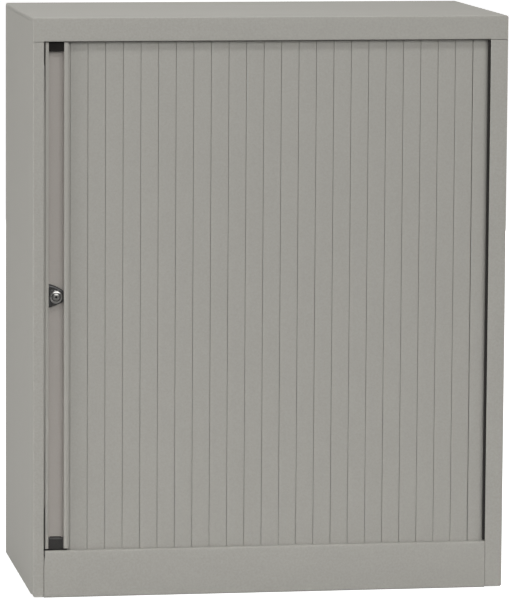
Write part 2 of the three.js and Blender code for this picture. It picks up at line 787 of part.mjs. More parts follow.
add('top_panel', topPanel(), paintedSteel());
add('left_side_panel', sidePanel(-1, leftStileWidth), paintedSteel());
add('right_side_panel', sidePanel(1, rightStileWidth), paintedSteel());
add('back_panel', backPanel(), paintedSteel());
add('plinth_panel', plinthPanel(), paintedSteel());
add('rear_plinth_rail', rearRail(), paintedSteel());
add('base_pan', basePan(), paintedSteel());
add('ceiling_pan', ceilingPan(), paintedSteel());
add('bottom_track', track(bottomTrackFoot, true), greyPlastic());
add('top_track', track(topTrackFoot, false), greyPlastic());
add('right_liner', rightLiner(), paintedSteel());
add('back_liner', backLiner(), paintedSteel());
add('inner_floor', innerFloor(), paintedSteel());
add('left_front_upright', upright(-1, leftWall, frontUprightY), paintedSteel());
add('left_rear_upright', upright(-1, leftWall, rearUprightY), paintedSteel());
add('right_front_upright', upright(1, rightWall, frontUprightY), paintedSteel());
add('right_rear_upright', upright(1, rightWall, rearUprightY), paintedSteel());
['lower', 'upper'].forEach((level, i) => add(`${level}_shelf`, shelf(shelfSlots[i]), paintedSteel()));
add('strike_plate', strikePlate(), zinc());

const grooveFoot = bottomTrackFoot + trackFloor + fit;
const grooveTop = topTrackFoot + trackHeight - trackFloor - fit;
add('bottom_closing_buffer', closingBuffer(grooveFoot, bottomTrackFoot + trackHeight), rubber());
add('top_closing_buffer', closingBuffer(topTrackFoot, grooveTop), rubber());

add('leading_strip', leadingStrip(), stripMetal());
add('top_strip_cap', stripCap(1, stripTop, topCapHeight, slatTop), blackPlastic());
add('bottom_strip_cap', stripCap(-1, stripFoot, footCapHeight, slatFoot), blackPlastic());
add('lock_bezel', lockBezel(), blackPlastic());
add('lock_barrel', lockBarrel(), chrome());
add('lock_nut', lockNut(), zinc());
add('lock_plug', lockPlug(), chrome());
add('lock_cam', lockCam(), zinc());

for (let i = 0; i < flatSlatCount + sideSlatCount; i += 1) {
  const startRun = slatsLeft + i * slatPitch - cornerX;
  const name = i < flatSlatCount ? `slat_${i + 1}` : `side_slat_${i + 1 - flatSlatCount}`;
  add(name, prismZ(slatOutline(startRun), slatFoot, slatTop), slatPlastic());
}

export default cabinet;
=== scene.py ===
from math import asin, atan2, cos, pi, radians, sin, tan

import bmesh
import bpy
from mathutils import Matrix, Vector


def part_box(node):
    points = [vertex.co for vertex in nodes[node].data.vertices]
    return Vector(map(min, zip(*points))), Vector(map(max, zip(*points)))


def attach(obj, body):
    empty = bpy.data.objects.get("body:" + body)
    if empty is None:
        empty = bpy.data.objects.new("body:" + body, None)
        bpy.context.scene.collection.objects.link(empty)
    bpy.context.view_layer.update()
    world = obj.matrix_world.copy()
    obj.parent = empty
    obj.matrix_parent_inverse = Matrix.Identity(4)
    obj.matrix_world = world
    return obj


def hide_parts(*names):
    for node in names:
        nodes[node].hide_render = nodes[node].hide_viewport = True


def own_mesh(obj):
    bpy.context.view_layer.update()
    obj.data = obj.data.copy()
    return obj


# A grey steel cabinet with a tambour door. Metres, X to the right, Y to the back, Z up.

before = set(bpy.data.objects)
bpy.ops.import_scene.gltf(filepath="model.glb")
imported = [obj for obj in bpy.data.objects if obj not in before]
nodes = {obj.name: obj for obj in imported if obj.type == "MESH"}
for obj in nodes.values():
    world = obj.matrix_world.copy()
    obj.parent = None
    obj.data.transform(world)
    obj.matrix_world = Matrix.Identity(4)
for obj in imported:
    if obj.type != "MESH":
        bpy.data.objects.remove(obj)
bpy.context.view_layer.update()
mm = 0.001
print("frame loaded:", len(nodes), "nodes")

cabinet = {
    "width": 0.824,
    "height": 1.0,
    "depth": 0.43,
    "sheet": 1.2 * mm,
    "fit": 0.3 * mm,
    "headerHeight": 41.3 * mm,
    "leftStile": 18.8 * mm,
    "rightStile": 30.1 * mm,
    "rollRadius": 4.2 * mm,      # outer radius where the top rolls over into the sides
    "foldRadius": 2.6 * mm,      # outer radius of the folds that lie level
    "uprightRadius": 1.1 * mm,   # and of the upright ones
    "seam": 0.75 * mm,           # open joints between panels of the front
}
overrun = 1 * mm                 # how far a cutting block stands out past what it cuts
hair = 0.02 * mm                 # a hair's breadth, which a cut leaves or a test allows
halfWidth = cabinet["width"] / 2
front = -cabinet["depth"] / 2
back = cabinet["depth"] / 2
openingTop = cabinet["height"] - cabinet["headerHeight"]
openingLeft = -halfWidth + cabinet["leftStile"]
openingRight = halfWidth - cabinet["rightStile"]


# Meshes

meshing = {
    "smoothAngle": 32,           # degrees: flatter edges than this are shaded smooth
    "turnedAngle": 40,           # the same for turned parts
    "crispAngle": 30,            # and for the lock's face
    "bevelAngle": 40,            # degrees: sharper edges than this are softened
    "bevelSegments": 2,
    "mergeDistance": 1e-7,
    "cadMergeDistance": 2e-6,
    "flatAngle": 0.3,            # degrees: flatter edges of a CAD mesh are dissolved
    "leastRadius": 0.2 * mm,     # of the inner side of a fold
    "foldSteps": 8,
}


def shadeByAngle(mesh, angle=meshing["smoothAngle"]):
    mesh.shade_smooth()
    mesh.set_sharp_from_angle(angle=radians(angle))


def newPiece(name, verts, faces):
    mesh = bpy.data.meshes.new(name)
    mesh.from_pydata([tuple(v) for v in verts], [], faces)
    mesh.validate()
    piece = bpy.data.objects.new(name, mesh)
    bpy.context.scene.collection.objects.link(piece)
    shadeByAngle(mesh)
    return piece


def prismPiece(name, outline, start, end, place):
    # place turns (a, b, along) into (x, y, z)
    count = len(outline)
    verts = [place(a, b, along) for along in (start, end) for a, b in outline]
    sides = [(i, (i + 1) % count, count + (i + 1) % count, count + i) for i in range(count)]
    piece = newPiece(name, verts, sides + [tuple(reversed(range(count))), tuple(range(count, 2 * count))])
    pointOutwards(piece.data)
    return piece


def pointOutwards(mesh):
    work = bmesh.new()
    work.from_mesh(mesh)
    bmesh.ops.remove_doubles(work, verts=work.verts, dist=meshing["mergeDistance"])
    bmesh.ops.recalc_face_normals(work, faces=work.faces)
    if work.calc_volume(signed=True) < 0:
        bmesh.ops.reverse_faces(work, faces=work.faces)
    work.to_mesh(mesh)
    work.free()


def alongX(y, z, x):
    return (x, y, z)


def alongY(x, z, y):
    return (x, y, z)


def alongZ(x, y, z):
    return (x, y, z)


def roundCorners(points, steps):
    # points are (a, b, radius); a radius of 0 keeps the corner sharp
    result = []
    for i, (a, b, radius) in enumerate(points):
        before = Vector(points[i - 1][:2]) - Vector((a, b))
        after = Vector(points[(i + 1) % len(points)][:2]) - Vector((a, b))
        if radius <= 0:
            result.append((a, b))
            continue
        before.normalize()
        after.normalize()
        half = before.angle(after) / 2
        reach = radius / tan(half)
        centre = Vector((a, b)) + (before + after).normalized() * (radius / sin(half))
        first = Vector((a, b)) + before * reach - centre
        last = Vector((a, b)) + after * reach - centre
        turn = atan2(first.x * last.y - first.y * last.x, first.dot(last))
        for k in range(steps + 1):
            point = Matrix.Rotation(turn * k / steps, 2) @ first
            result.append((centre.x + point.x, centre.y + point.y))
    return result


def foldedSheet(path, thickness, outerRadius):
    # path holds the outer face's corners, and the sheet lies to its left
    points = [Vector(p) for p in path]
    headings = [(b - a).normalized() for a, b in zip(points, points[1:])]
    innerRadius = max(outerRadius - thickness, meshing["leastRadius"])
    inside = []
    outside = []
    for i, point in enumerate(points):
        one = headings[max(i - 1, 0)]
        two = headings[min(i, len(headings) - 1)]
        shift = Vector((-(one.y + two.y), one.x + two.x)) * thickness / (1 + one.dot(two))
        turn = one.x * two.y - one.y * two.x
        ends = i in (0, len(points) - 1)
        outer, inner = (outerRadius, innerRadius) if turn > 0 else (innerRadius, outerRadius)
        if ends:
            outer = inner = 0
        outside.append((point.x, point.y, outer))
        inside.append((point.x + shift.x, point.y + shift.y, inner))
    return roundCorners(outside + inside[::-1], meshing["foldSteps"])


def addBevel(piece, width, angle=meshing["bevelAngle"]):
    bevel = piece.modifiers.new("softEdge", "BEVEL")
    bevel.width = width
    bevel.segments = meshing["bevelSegments"]
    bevel.limit_method = "ANGLE"
    bevel.angle_limit = radians(angle)
    bevel.use_clamp_overlap = True
    bevel.harden_normals = True


def bakeModifiers(piece):
    graph = bpy.context.evaluated_depsgraph_get()
    mesh = bpy.data.meshes.new_from_object(piece.evaluated_get(graph))
    piece.modifiers.clear()
    piece.data = mesh


def combine(piece, tool, operation):
    boolean = piece.modifiers.new("combine", "BOOLEAN")
    boolean.operation = operation
    boolean.solver = "EXACT"
    boolean.object = tool
    bakeModifiers(piece)
    bpy.data.objects.remove(tool)
    return piece


def cutAway(piece, *tools):
    for tool in tools:
        combine(piece, tool, "DIFFERENCE")


def blockPiece(x0, x1, y0, y1, z0, z1):
    outline = [(min(x0, x1), y0), (max(x0, x1), y0), (max(x0, x1), y1), (min(x0, x1), y1)]
    return prismPiece("block", outline, z0, z1, alongZ)


def cleanCopy(node, name, bevelWidth):
    # the CAD node's own shape, merged and with softened edges
    mesh = nodes[node].data.copy()
    mesh.name = name
    mesh.materials.clear()
    work = bmesh.new()
    work.from_mesh(mesh)
    bmesh.ops.remove_doubles(work, verts=work.verts, dist=meshing["cadMergeDistance"])
    bmesh.ops.dissolve_limit(
        work, angle_limit=radians(meshing["flatAngle"]), verts=work.verts, edges=work.edges,
    )
    work.to_mesh(mesh)
    work.free()
    piece = bpy.data.objects.new(name, mesh)
    bpy.context.scene.collection.objects.link(piece)
    shadeByAngle(mesh)
    if bevelWidth:
        addBevel(piece, bevelWidth)
    return piece


# Finishes

grit = {                         # what all the finishes share
    "fineDetail": 3,
    "cloudScale": 14,
    "cloudDetail": 2,
    "markDetail": 2,
    "sheen": 0.35,
}
coatInputs = {
    "Speckle Size": "speckleSize",
    "Speckle Depth": "speckleDepth",
    "Cloud Depth": "cloudDepth",
    "Roughness": "roughness",
}


def feed(tree, node, inputs):
    # each input takes a plain value or another node's output
    for name, value in inputs.items():
        if isinstance(value, bpy.types.NodeSocket):
            tree.links.new(value, node.inputs[name])
        else:
            node.inputs[name].default_value = value


def addNode(tree, kind, inputs=None):
    node = tree.nodes.new(kind)
    feed(tree, node, inputs or {})
    return node


def mathNode(tree, operation, *values):
    node = tree.nodes.new("ShaderNodeMath")
    node.operation = operation
    feed(tree, node, dict(enumerate(values)))
    return node.outputs[0]


def noiseNode(tree, scale, detail):
    place = addNode(tree, "ShaderNodeTexCoord")
    noise = addNode(tree, "ShaderNodeTexNoise", {
        "Vector": place.outputs["Object"], "Scale": scale, "Detail": detail,
    })
    return noise.outputs["Fac"]


def newMaterial(name):
    material = bpy.data.materials.new(name)
    material.use_nodes = True
    return material, material.node_tree, material.node_tree.nodes["Principled BSDF"]


def powderCoatGroup():
    group = bpy.data.node_groups.new("powderCoat", "ShaderNodeTree")
    sockets = group.interface
    sockets.new_socket("Colour", in_out="INPUT", socket_type="NodeSocketColor")
    for name in coatInputs:
        sockets.new_socket(name, in_out="INPUT", socket_type="NodeSocketFloat")
    sockets.new_socket("Colour", in_out="OUTPUT", socket_type="NodeSocketColor")
    for name in ("Roughness", "Grain"):
        sockets.new_socket(name, in_out="OUTPUT", socket_type="NodeSocketFloat")
    entry = group.nodes.new("NodeGroupInput")
    leave = group.nodes.new("NodeGroupOutput")
    perMetre = mathNode(group, "DIVIDE", 1 / mm, entry.outputs["Speckle Size"])
    fine = noiseNode(group, perMetre, grit["fineDetail"])
    cloud = noiseNode(group, grit["cloudScale"], grit["cloudDetail"])
    brightness = 1
    for noise, depth in ((fine, "Speckle Depth"), (cloud, "Cloud Depth")):
        centred = mathNode(group, "SUBTRACT", noise, 0.5)
        brightness = mathNode(group, "MULTIPLY_ADD", centred, entry.outputs[depth], brightness)
    tinted = group.nodes.new("ShaderNodeVectorMath")
    tinted.operation = "SCALE"
    feed(group, tinted, {0: entry.outputs["Colour"], "Scale": brightness})
    rough = mathNode(group, "MULTIPLY", entry.outputs["Roughness"], brightness)
    feed(group, leave, {"Colour": tinted.outputs[0], "Roughness": rough, "Grain": fine})
    return group


powderCoat = powderCoatGroup()


def grainyFinish(name, look):
    material, tree, shader = newMaterial(name)
    coat = tree.nodes.new("ShaderNodeGroup")
    coat.node_tree = powderCoat
    feed(tree, coat, {"Colour": (*look["colour"], 1)})
    feed(tree, coat, {socket: look[key] for socket, key in coatInputs.items()})
    bump = addNode(tree, "ShaderNodeBump", {
        "Strength": look["grain"], "Distance": look["grainDepth"], "Height": coat.outputs["Grain"],
    })
    feed(tree, shader, {
        "Base Color": coat.outputs["Colour"], "Roughness": coat.outputs["Roughness"],
        "Specular IOR Level": look.get("sheen", grit["sheen"]), "Normal": bump.outputs["Normal"],
    })
    return material


def turnedMetal(name, look):
    material, tree, shader = newMaterial(name)
    marks = noiseNode(tree, look["markScale"], grit["markDetail"])
    rough = addNode(tree, "ShaderNodeMapRange", {
        "Value": marks, "To Min": look["roughness"] - look["spread"],
        "To Max": look["roughness"] + look["spread"],
    })
    tone = tree.nodes.new("ShaderNodeMix")
    tone.data_type = "RGBA"
    feed(tree, tone, {"Factor": marks, "A": (*look["colour"], 1), "B": (*look["shade"], 1)})
    feed(tree, shader, {"Base Color": tone.outputs["Result"], "Roughness": rough.outputs[0], "Metallic": 1})
    return material


paint = grainyFinish("greyPowderPaint", {
    "colour": (0.335, 0.326, 0.298), "speckleSize": 3.4, "speckleDepth": 0.26, "cloudDepth": 0.05,
    "roughness": 0.55, "grain": 0.25, "grainDepth": 0.1 * mm,
})
slatVinyl = grainyFinish("greySlatVinyl", {
    "colour": (0.335, 0.326, 0.298), "speckleSize": 3.0, "speckleDepth": 0.2, "cloudDepth": 0.04,
    "roughness": 0.6, "grain": 0.15, "grainDepth": 0.08 * mm,
})
stripPaint = grainyFinish("greyStripPaint", {
    "colour": (0.335, 0.325, 0.296), "speckleSize": 2.4, "speckleDepth": 0.10, "cloudDepth": 0.04,
    "roughness": 0.5, "grain": 0.12, "grainDepth": 0.08 * mm,
})
# the groove's faces are painted a little darker and warmer than the strip: painted shade in the recess
grooveShadePaint = grainyFinish("greyGroovePaintedShade", {
    "colour": (0.335, 0.312, 0.287), "speckleSize": 3.0, "speckleDepth": 0.10, "cloudDepth": 0.05,
    "roughness": 0.5, "grain": 0.1, "grainDepth": 0.08 * mm,
})
# black of the end caps, also used to paint the lock's key hole black: painted shade
blackPlasticAndHoleShade = grainyFinish("blackMouldedPlasticAndHoleShade", {
    "colour": (0.011, 0.0095, 0.008), "speckleSize": 1.2, "speckleDepth": 0.5, "cloudDepth": 0.2,
    "roughness": 0.5, "grain": 0.3, "grainDepth": 0.08 * mm, "sheen": 0.16,
})
bezelPlastic = grainyFinish("blackBezelPlastic", {
    "colour": (0.010, 0.009, 0.008), "speckleSize": 1.2, "speckleDepth": 0.4, "cloudDepth": 0.2,
    "roughness": 0.24, "grain": 0.1, "grainDepth": 0.03 * mm, "sheen": 0.4,
})
capPlastic = grainyFinish("blackCapPlastic", {
    "colour": (0.012, 0.0105, 0.009), "speckleSize": 1.6, "speckleDepth": 0.9, "cloudDepth": 0.4,
    "roughness": 0.36, "grain": 0.35, "grainDepth": 0.12 * mm, "sheen": 0.4,
})
trackPlastic = grainyFinish("greyTrackPlastic", {
    "colour": (0.16, 0.155, 0.145), "speckleSize": 1.5, "speckleDepth": 0.1, "cloudDepth": 0.1,
    "roughness": 0.5, "grain": 0.1, "grainDepth": 0.05 * mm,
})
bufferRubber = grainyFinish("blackBufferRubber", {
    "colour": (0.018, 0.018, 0.018), "speckleSize": 0.8, "speckleDepth": 0.3, "cloudDepth": 0.1,
    "roughness": 0.8, "grain": 0.4, "grainDepth": 0.05 * mm,
})
# black for the sheets put in the gaps behind the right stile and under the header: painted shade
shadeSheetFinish = grainyFinish("blackShadeSheetFinish", {
    "colour": (0.018, 0.0165, 0.015), "speckleSize": 0.8, "speckleDepth": 0.3, "cloudDepth": 0.2,
    "roughness": 0.95, "grain": 0.4, "grainDepth": 0.1 * mm,
})
chrome = turnedMetal("lockChrome", {
    "colour": (0.36, 0.353, 0.34), "shade": (0.25, 0.245, 0.235), "roughness": 0.22, "spread": 0.05,
    "markScale": 700,
})
plugMetal = turnedMetal("lockPlugMetal", {
    "colour": (0.3, 0.294, 0.28), "shade": (0.2, 0.196, 0.188), "roughness": 0.3, "spread": 0.06,
    "markScale": 700,
})
zinc = turnedMetal("zincPlate", {
    "colour": (0.62, 0.62, 0.6), "shade": (0.42, 0.43, 0.44), "roughness": 0.38, "spread": 0.1,
    "markScale": 260,
})
print("finishes made")


def finishPiece(piece, material, body, replaced):
    if material is not None:
        piece.data.materials.clear()
        piece.data.materials.append(material)
    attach(piece, body)
    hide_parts(*replaced)


# Top panel: header flange in front, rolled edges at the sides

topPanel = {
    "returnDepth": 5.6 * mm,
    "rearFlange": 22 * mm,
    "sideFlange": 7 * mm,
    "hollow": 5 * mm,            # how far the cut from below starts under the flange
    "lipHeight": 8 * mm,
    "lipCut": 6 * mm,
    "lipCutDepth": 0.1 * mm,
    "lipRadius": 1.9 * mm,
    "roundSteps": 10,
}


def roundedLid(inset, foot):
    # a block with its upper edges and its upright corners rounded
    roll = cabinet["rollRadius"] - inset
    fold = cabinet["foldRadius"] - inset
    turn = max(cabinet["uprightRadius"] - inset, meshing["leastRadius"])
    reach = halfWidth - inset
    near, far, top = front + inset, back - inset, cabinet["height"] - inset
    steps = topPanel["roundSteps"]
    across = roundCorners([(-reach, foot, 0), (reach, foot, 0), (reach, top, roll), (-reach, top, roll)], steps)
    along = roundCorners([(near, foot, 0), (far, foot, 0), (far, top, fold), (near, top, fold)], steps)
    plan = roundCorners(
        [(-reach, near, turn), (reach, near, turn), (reach, far, turn), (-reach, far, turn)], steps,
    )
    lid = prismPiece("lid", across, near, far, alongY)
    combine(lid, prismPiece("along", along, -reach - overrun, reach + overrun, alongX), "INTERSECT")
    return combine(lid, prismPiece("plan", plan, foot - overrun, top + overrun, alongZ), "INTERSECT")


def makeTopPanel():
    sheet = cabinet["sheet"]
    top = cabinet["height"]
    piece = roundedLid(0, openingTop)
    piece.name = "topPanel"
    wide = halfWidth + overrun
    under = openingTop - overrun
    left = openingLeft + cabinet["fit"]
    right = openingRight - cabinet["fit"]
    cutAway(
        piece,
        roundedLid(sheet, openingTop - topPanel["hollow"]),
        blockPiece(-wide, wide, back - 4 * sheet, back + overrun, under, top - topPanel["rearFlange"]),
        blockPiece(-wide, wide, front + sheet, back - 3 * sheet, under, top - topPanel["sideFlange"]),
        blockPiece(
            left, right, front - overrun, front + sheet + topPanel["lipCutDepth"], under,
            openingTop + topPanel["lipCut"],
        ),
    )
    lip = foldedSheet([
        (front, openingTop + topPanel["lipHeight"]), (front, openingTop),
        (front + sheet + topPanel["returnDepth"], openingTop),
    ], sheet, topPanel["lipRadius"])
    combine(piece, prismPiece("lip", lip, left, right, alongX), "UNION")
    shadeByAngle(piece.data)
    return piece


finishPiece(makeTopPanel(), paint, "cabinet", ["top_panel"])

# Side panels, seen in plan: stile, side and rear return

sidePanel = {
    "hem": 8 * mm,
    "hemRadius": 1.1 * mm,
    "hemEndRadius": 0.3 * mm,
    "hemRootRadius": 0.2 * mm,
    "rearReturn": 14 * mm,
    "returnRadius": 0.4 * mm,
    "foot": 1.5 * mm,
    "footRadius": 4 * mm,
    "footDepth": 30 * mm,        # the foot's corner is rounded this far back
}


def makeSidePanel(side, stile, name):
    sheet, clear, steps = cabinet["sheet"], cabinet["fit"], meshing["foldSteps"]
    fold = cabinet["uprightRadius"]
    hemRadius, returnRadius = sidePanel["hemRadius"], sidePanel["returnRadius"]
    outer = side * halfWidth
    inner = outer - side * sheet
    edge = outer - side * stile
    hemEdge = edge + side * sidePanel["hem"]
    rearEdge = outer - side * sidePanel["rearReturn"]
    hemBack = front + 2 * sheet
    stileTop = openingTop - cabinet["seam"]
    wallTop = cabinet["height"] - topPanel["sideFlange"] - clear
    over = wallTop + overrun
    outline = roundCorners([
        (hemEdge, hemBack, sidePanel["hemEndRadius"]), (edge, hemBack, hemRadius), (edge, front, hemRadius),
        (outer, front, fold), (outer, back, fold), (rearEdge, back, returnRadius),
        (rearEdge, back - sheet, returnRadius), (inner, back - sheet, fold - sheet),
        (inner, front + sheet, fold - sheet), (hemEdge, front + sheet, sidePanel["hemRootRadius"]),
    ], steps)
    foot, radius, out = sidePanel["foot"], sidePanel["footRadius"], 2 * overrun
    turns = [pi / 2 * k / steps for k in range(steps + 1)]
    rounding = [
        (outer + side * out, foot - out), (outer + side * out, foot + radius),
        *((outer - side * radius * (1 - cos(turn)), foot + radius - radius * sin(turn)) for turn in turns),
        (outer - side * radius, foot - out),
    ]
    piece = prismPiece(name, outline, foot, wallTop, alongZ)
    cutAway(
        piece,
        blockPiece(
            edge - side * overrun, outer + side * overrun, front - overrun, front + sheet + clear,
            stileTop, over,
        ),
        blockPiece(
            edge - side * overrun, inner - side * hair, front - overrun, front + 3 * sheet, stileTop, over,
        ),
        blockPiece(
            rearEdge - side * overrun, outer + side * overrun, back - sheet - clear, back + overrun,
            cabinet["height"] - topPanel["rearFlange"] - clear, over,
        ),
        prismPiece("rounding", rounding, front - out, front + sidePanel["footDepth"], alongY),
    )
    shadeByAngle(piece.data)
    return piece


for side, stile, name, node in (
    (-1, cabinet["leftStile"], "leftSide", "left_side_panel"),
    (1, cabinet["rightStile"], "rightSide", "right_side_panel"),
):
    finishPiece(makeSidePanel(side, stile, name), paint, "cabinet", [node])
print("top and sides made")

# Plinth between the stiles, with the bright ledge on top

plinth = {
    "height": 81.6 * mm,
    "foot": 16 * mm,
    "ledge": 7.3 * mm,
    "slotDepth": 16.5 * mm,
    "slotWidth": 1.2 * mm,
    "slotReach": 20 * mm,
    "tab": 4 * mm,               # how far each end runs on behind the stile
    "tabFoot": 3 * mm,
    "tabDepths": (2.1, 3.1),     # in thicknesses of the sheet
    "step": 6 * mm,              # a block from here to near the end joins the tab to the panel
    "stepLap": 0.2 * mm,
    "stepDepths": (0.8, 3),
}


def makePlinth():
    sheet, top = cabinet["sheet"], plinth["height"]
    slotFoot = top - plinth["slotDepth"]
    out = 2 * overrun
    left = openingLeft + cabinet["seam"]
    right = openingRight - cabinet["seam"] / 2
    section = foldedSheet(
        [(front + plinth["ledge"], top), (front, top), (front, 0), (front + plinth["foot"], 0)],
        sheet, cabinet["foldRadius"],
    )
    piece = prismPiece("plinth", section, left, right, alongX)
    cutAway(piece, blockPiece(
        left - out, left + plinth["slotWidth"], front - out, front + plinth["slotReach"], slotFoot, top + out,
    ))
    # each end steps back and runs on behind the stile
    blocks = (
        (-plinth["step"], -plinth["stepLap"], *plinth["stepDepths"]),
        (-plinth["tab"], plinth["tab"], *plinth["tabDepths"]),
    )
    for end, side in ((left, -1), (right, 1)):
        for start, stop, near, far in blocks:
            combine(piece, blockPiece(
                end + side * start, end + side * stop, front + near * sheet, front + far * sheet,
                plinth["tabFoot"], slotFoot - overrun,
            ), "UNION")
    shadeByAngle(piece.data)
    return piece


finishPiece(makePlinth(), paint, "cabinet", ["plinth_panel"])

# Tambour: a slat's section, carried along the curtain's path by Geometry Nodes

curtain = {
    "pitch": 30.4 * mm,
    "faceGap": 0.56 * mm,
    "cornerGap": 1.7 * mm,       # the grooves open where the curtain turns
    "edgeRadius": 0.45 * mm,
    "wall": 1.8 * mm,
    "cornerRadius": 34 * mm,
    "flatCount": 23,
    "sideCount": 4,
    "foot": 73.3 * mm,
    "top": 967.2 * mm,
    "setBack": 10 * mm,
    "sideSetBack": 8 * mm,
    "crown": 0.16 * mm,          # how far the middle of a slat's face stands out
    "crownSteps": 14,
    "leafThickness": 0.17 * mm,  # of a slat where the open curtain is gathered
    "stripGap": 2.4 * mm,        # from the left stile to the leading strip
    "stripWidth": 39.7 * mm,
    "firstGap": 3.8 * mm,        # from the strip to the first slat
}
bead = {
    "inset": 2.6 * mm,
    "depth": 4.6 * mm,
    "radius": 1.5 * mm,
    "stem": 0.6 * mm,            # half the thickness of the web that carries the bead
    "edgeWall": 1.6 * mm,        # thickness of the slat's left edge, from which the web starts
    "play": 0.35 * mm,
    "wall": 1.4 * mm,
    "mouth": 0.61,               # half the socket's opening, in radians
}
rib = {"places": (0.6, 0.3), "thickness": 1.4 * mm, "depth": 7.6 * mm}
curtainFront = front + curtain["setBack"]
curtainSide = halfWidth - curtain["sideSetBack"]
cornerX = curtainSide - curtain["cornerRadius"]
frontCornerY = curtainFront + curtain["cornerRadius"]
slatsLeft = openingLeft + curtain["stripGap"] + curtain["stripWidth"] + curtain["firstGap"]
socketInner = bead["radius"] + bead["play"]
socketOuter = socketInner + bead["wall"]


def arcPoints(centreA, centreB, radius, start, end, steps):
    turns = [start + (end - start) * k / steps for k in range(steps + 1)]
    return [(centreA + radius * cos(turn), centreB + radius * sin(turn)) for turn in turns]


def slatOutline(gap):
    # (run, depth), with the slat's left edge at run zero
    pitch, wall, soft, depth = curtain["pitch"], curtain["wall"], curtain["edgeRadius"], bead["depth"]
    left = gap / 2
    right = pitch - gap / 2
    shares = [k / curtain["crownSteps"] for k in range(curtain["crownSteps"] + 1)]
    face = [
        (left + soft + (right - left - 2 * soft) * share, curtain["crown"] * ((2 * share - 1) ** 2 - 1))
        for share in shares
    ]
    leftEdge = arcPoints(left + soft, soft, soft, pi, 1.5 * pi, 4)
    rightEdge = arcPoints(right - soft, soft, soft, 1.5 * pi, 2 * pi, 4)
    socketRun = pitch - bead["inset"]
    meet = asin((depth - wall) / socketOuter)
    mouth = bead["mouth"]
    neck = asin(bead["stem"] / bead["radius"])
    ribs = []
    for share in rib["places"]:
        near, far = share * pitch - rib["thickness"] / 2, share * pitch + rib["thickness"] / 2
        ribs += [(far, wall), (far, rib["depth"]), (near, rib["depth"]), (near, wall)]
    return (
        leftEdge[:-1] + face + rightEdge[1:] + [(right, wall)]
        + arcPoints(socketRun, depth, socketOuter, -meet, -mouth, 3)
        + arcPoints(socketRun, depth, socketInner, -mouth, mouth - 2 * pi, 14)
        + arcPoints(socketRun, depth, socketOuter, mouth, pi + meet, 14)
        + ribs
        + [(left + bead["edgeWall"], wall), (left + bead["edgeWall"], depth + bead["stem"])]
        + arcPoints(-bead["inset"], depth, bead["radius"], neck, 2 * pi - neck, 12)
        + [(left, depth - bead["stem"])]
    )


def curtainTree():
    # copies of one slat, a pitch apart, bent round the corner
    tree = bpy.data.node_groups.new("curtainRun", "GeometryNodeTree")
    face = tree.interface
    face.new_socket("Geometry", in_out="INPUT", socket_type="NodeSocketGeometry")
    face.new_socket("Count", in_out="INPUT", socket_type="NodeSocketInt").default_value = 1
    for name in ("Start Run", "Pitch", "Corner Radius", "Corner X", "Corner Y"):
        face.new_socket(name, in_out="INPUT", socket_type="NodeSocketFloat")
    face.new_socket("Finish", in_out="INPUT", socket_type="NodeSocketMaterial")
    face.new_socket("Geometry", in_out="OUTPUT", socket_type="NodeSocketGeometry")
    entry = tree.nodes.new("NodeGroupInput").outputs
    leave = tree.nodes.new("NodeGroupOutput")

    def calc(operation, *values):
        return mathNode(tree, operation, *values)

    first = addNode(tree, "ShaderNodeCombineXYZ", {"X": entry["Start Run"]})
    step = addNode(tree, "ShaderNodeCombineXYZ", {"X": entry["Pitch"]})
    starts = tree.nodes.new("GeometryNodeMeshLine")
    starts.mode = "OFFSET"
    feed(tree, starts, {"Count": entry["Count"], "Start Location": first.outputs[0], "Offset": step.outputs[0]})
    copies = addNode(tree, "GeometryNodeInstanceOnPoints", {
        "Points": starts.outputs["Mesh"], "Instance": entry["Geometry"],
    })
    real = addNode(tree, "GeometryNodeRealizeInstances", {"Geometry": copies.outputs["Instances"]})
    place = addNode(tree, "GeometryNodeInputPosition")
    parts = addNode(tree, "ShaderNodeSeparateXYZ", {0: place.outputs[0]})
    run, depth, height = parts.outputs
    radius = entry["Corner Radius"]
    quarter = calc("MULTIPLY", radius, pi / 2)
    angle = calc("MINIMUM", calc("DIVIDE", calc("MAXIMUM", run, 0.0), radius), pi / 2)
    reach = calc("SUBTRACT", radius, depth)
    before = calc("MINIMUM", run, 0.0)
    after = calc("MAXIMUM", calc("SUBTRACT", run, quarter), 0.0)
    outX = calc("ADD", calc("MULTIPLY", reach, calc("SINE", angle)), before)
    outY = calc("SUBTRACT", after, calc("MULTIPLY", reach, calc("COSINE", angle)))
    bent = addNode(tree, "ShaderNodeCombineXYZ", {
        "X": calc("ADD", outX, entry["Corner X"]), "Y": calc("ADD", outY, entry["Corner Y"]), "Z": height,
    })
    move = addNode(tree, "GeometryNodeSetPosition", {
        "Geometry": real.outputs["Geometry"], "Position": bent.outputs[0],
    })
    dress = addNode(tree, "GeometryNodeSetMaterial", {
        "Geometry": move.outputs["Geometry"], "Material": entry["Finish"],
    })
    feed(tree, leave, {"Geometry": dress.outputs["Geometry"]})
    return tree


curtainRun = curtainTree()


def setInputs(modifier, values):
    for item in modifier.node_group.interface.items_tree:
        if item.item_type == "SOCKET" and item.in_out == "INPUT" and item.name in values:
            modifier[item.identifier] = values[item.name]


def makeSlats(name, firstRun, count, gap):
    piece = prismPiece(name, slatOutline(gap), curtain["foot"], curtain["top"], alongZ)
    modifier = piece.modifiers.new("curtainRun", "NODES")
    modifier.node_group = curtainRun
    setInputs(modifier, {
        "Count": count, "Start Run": firstRun, "Pitch": curtain["pitch"],
        "Corner Radius": curtain["cornerRadius"], "Corner X": cornerX, "Corner Y": frontCornerY,
        "Finish": slatVinyl,
    })
    bakeModifiers(piece)
    shadeByAngle(piece.data)
    return piece


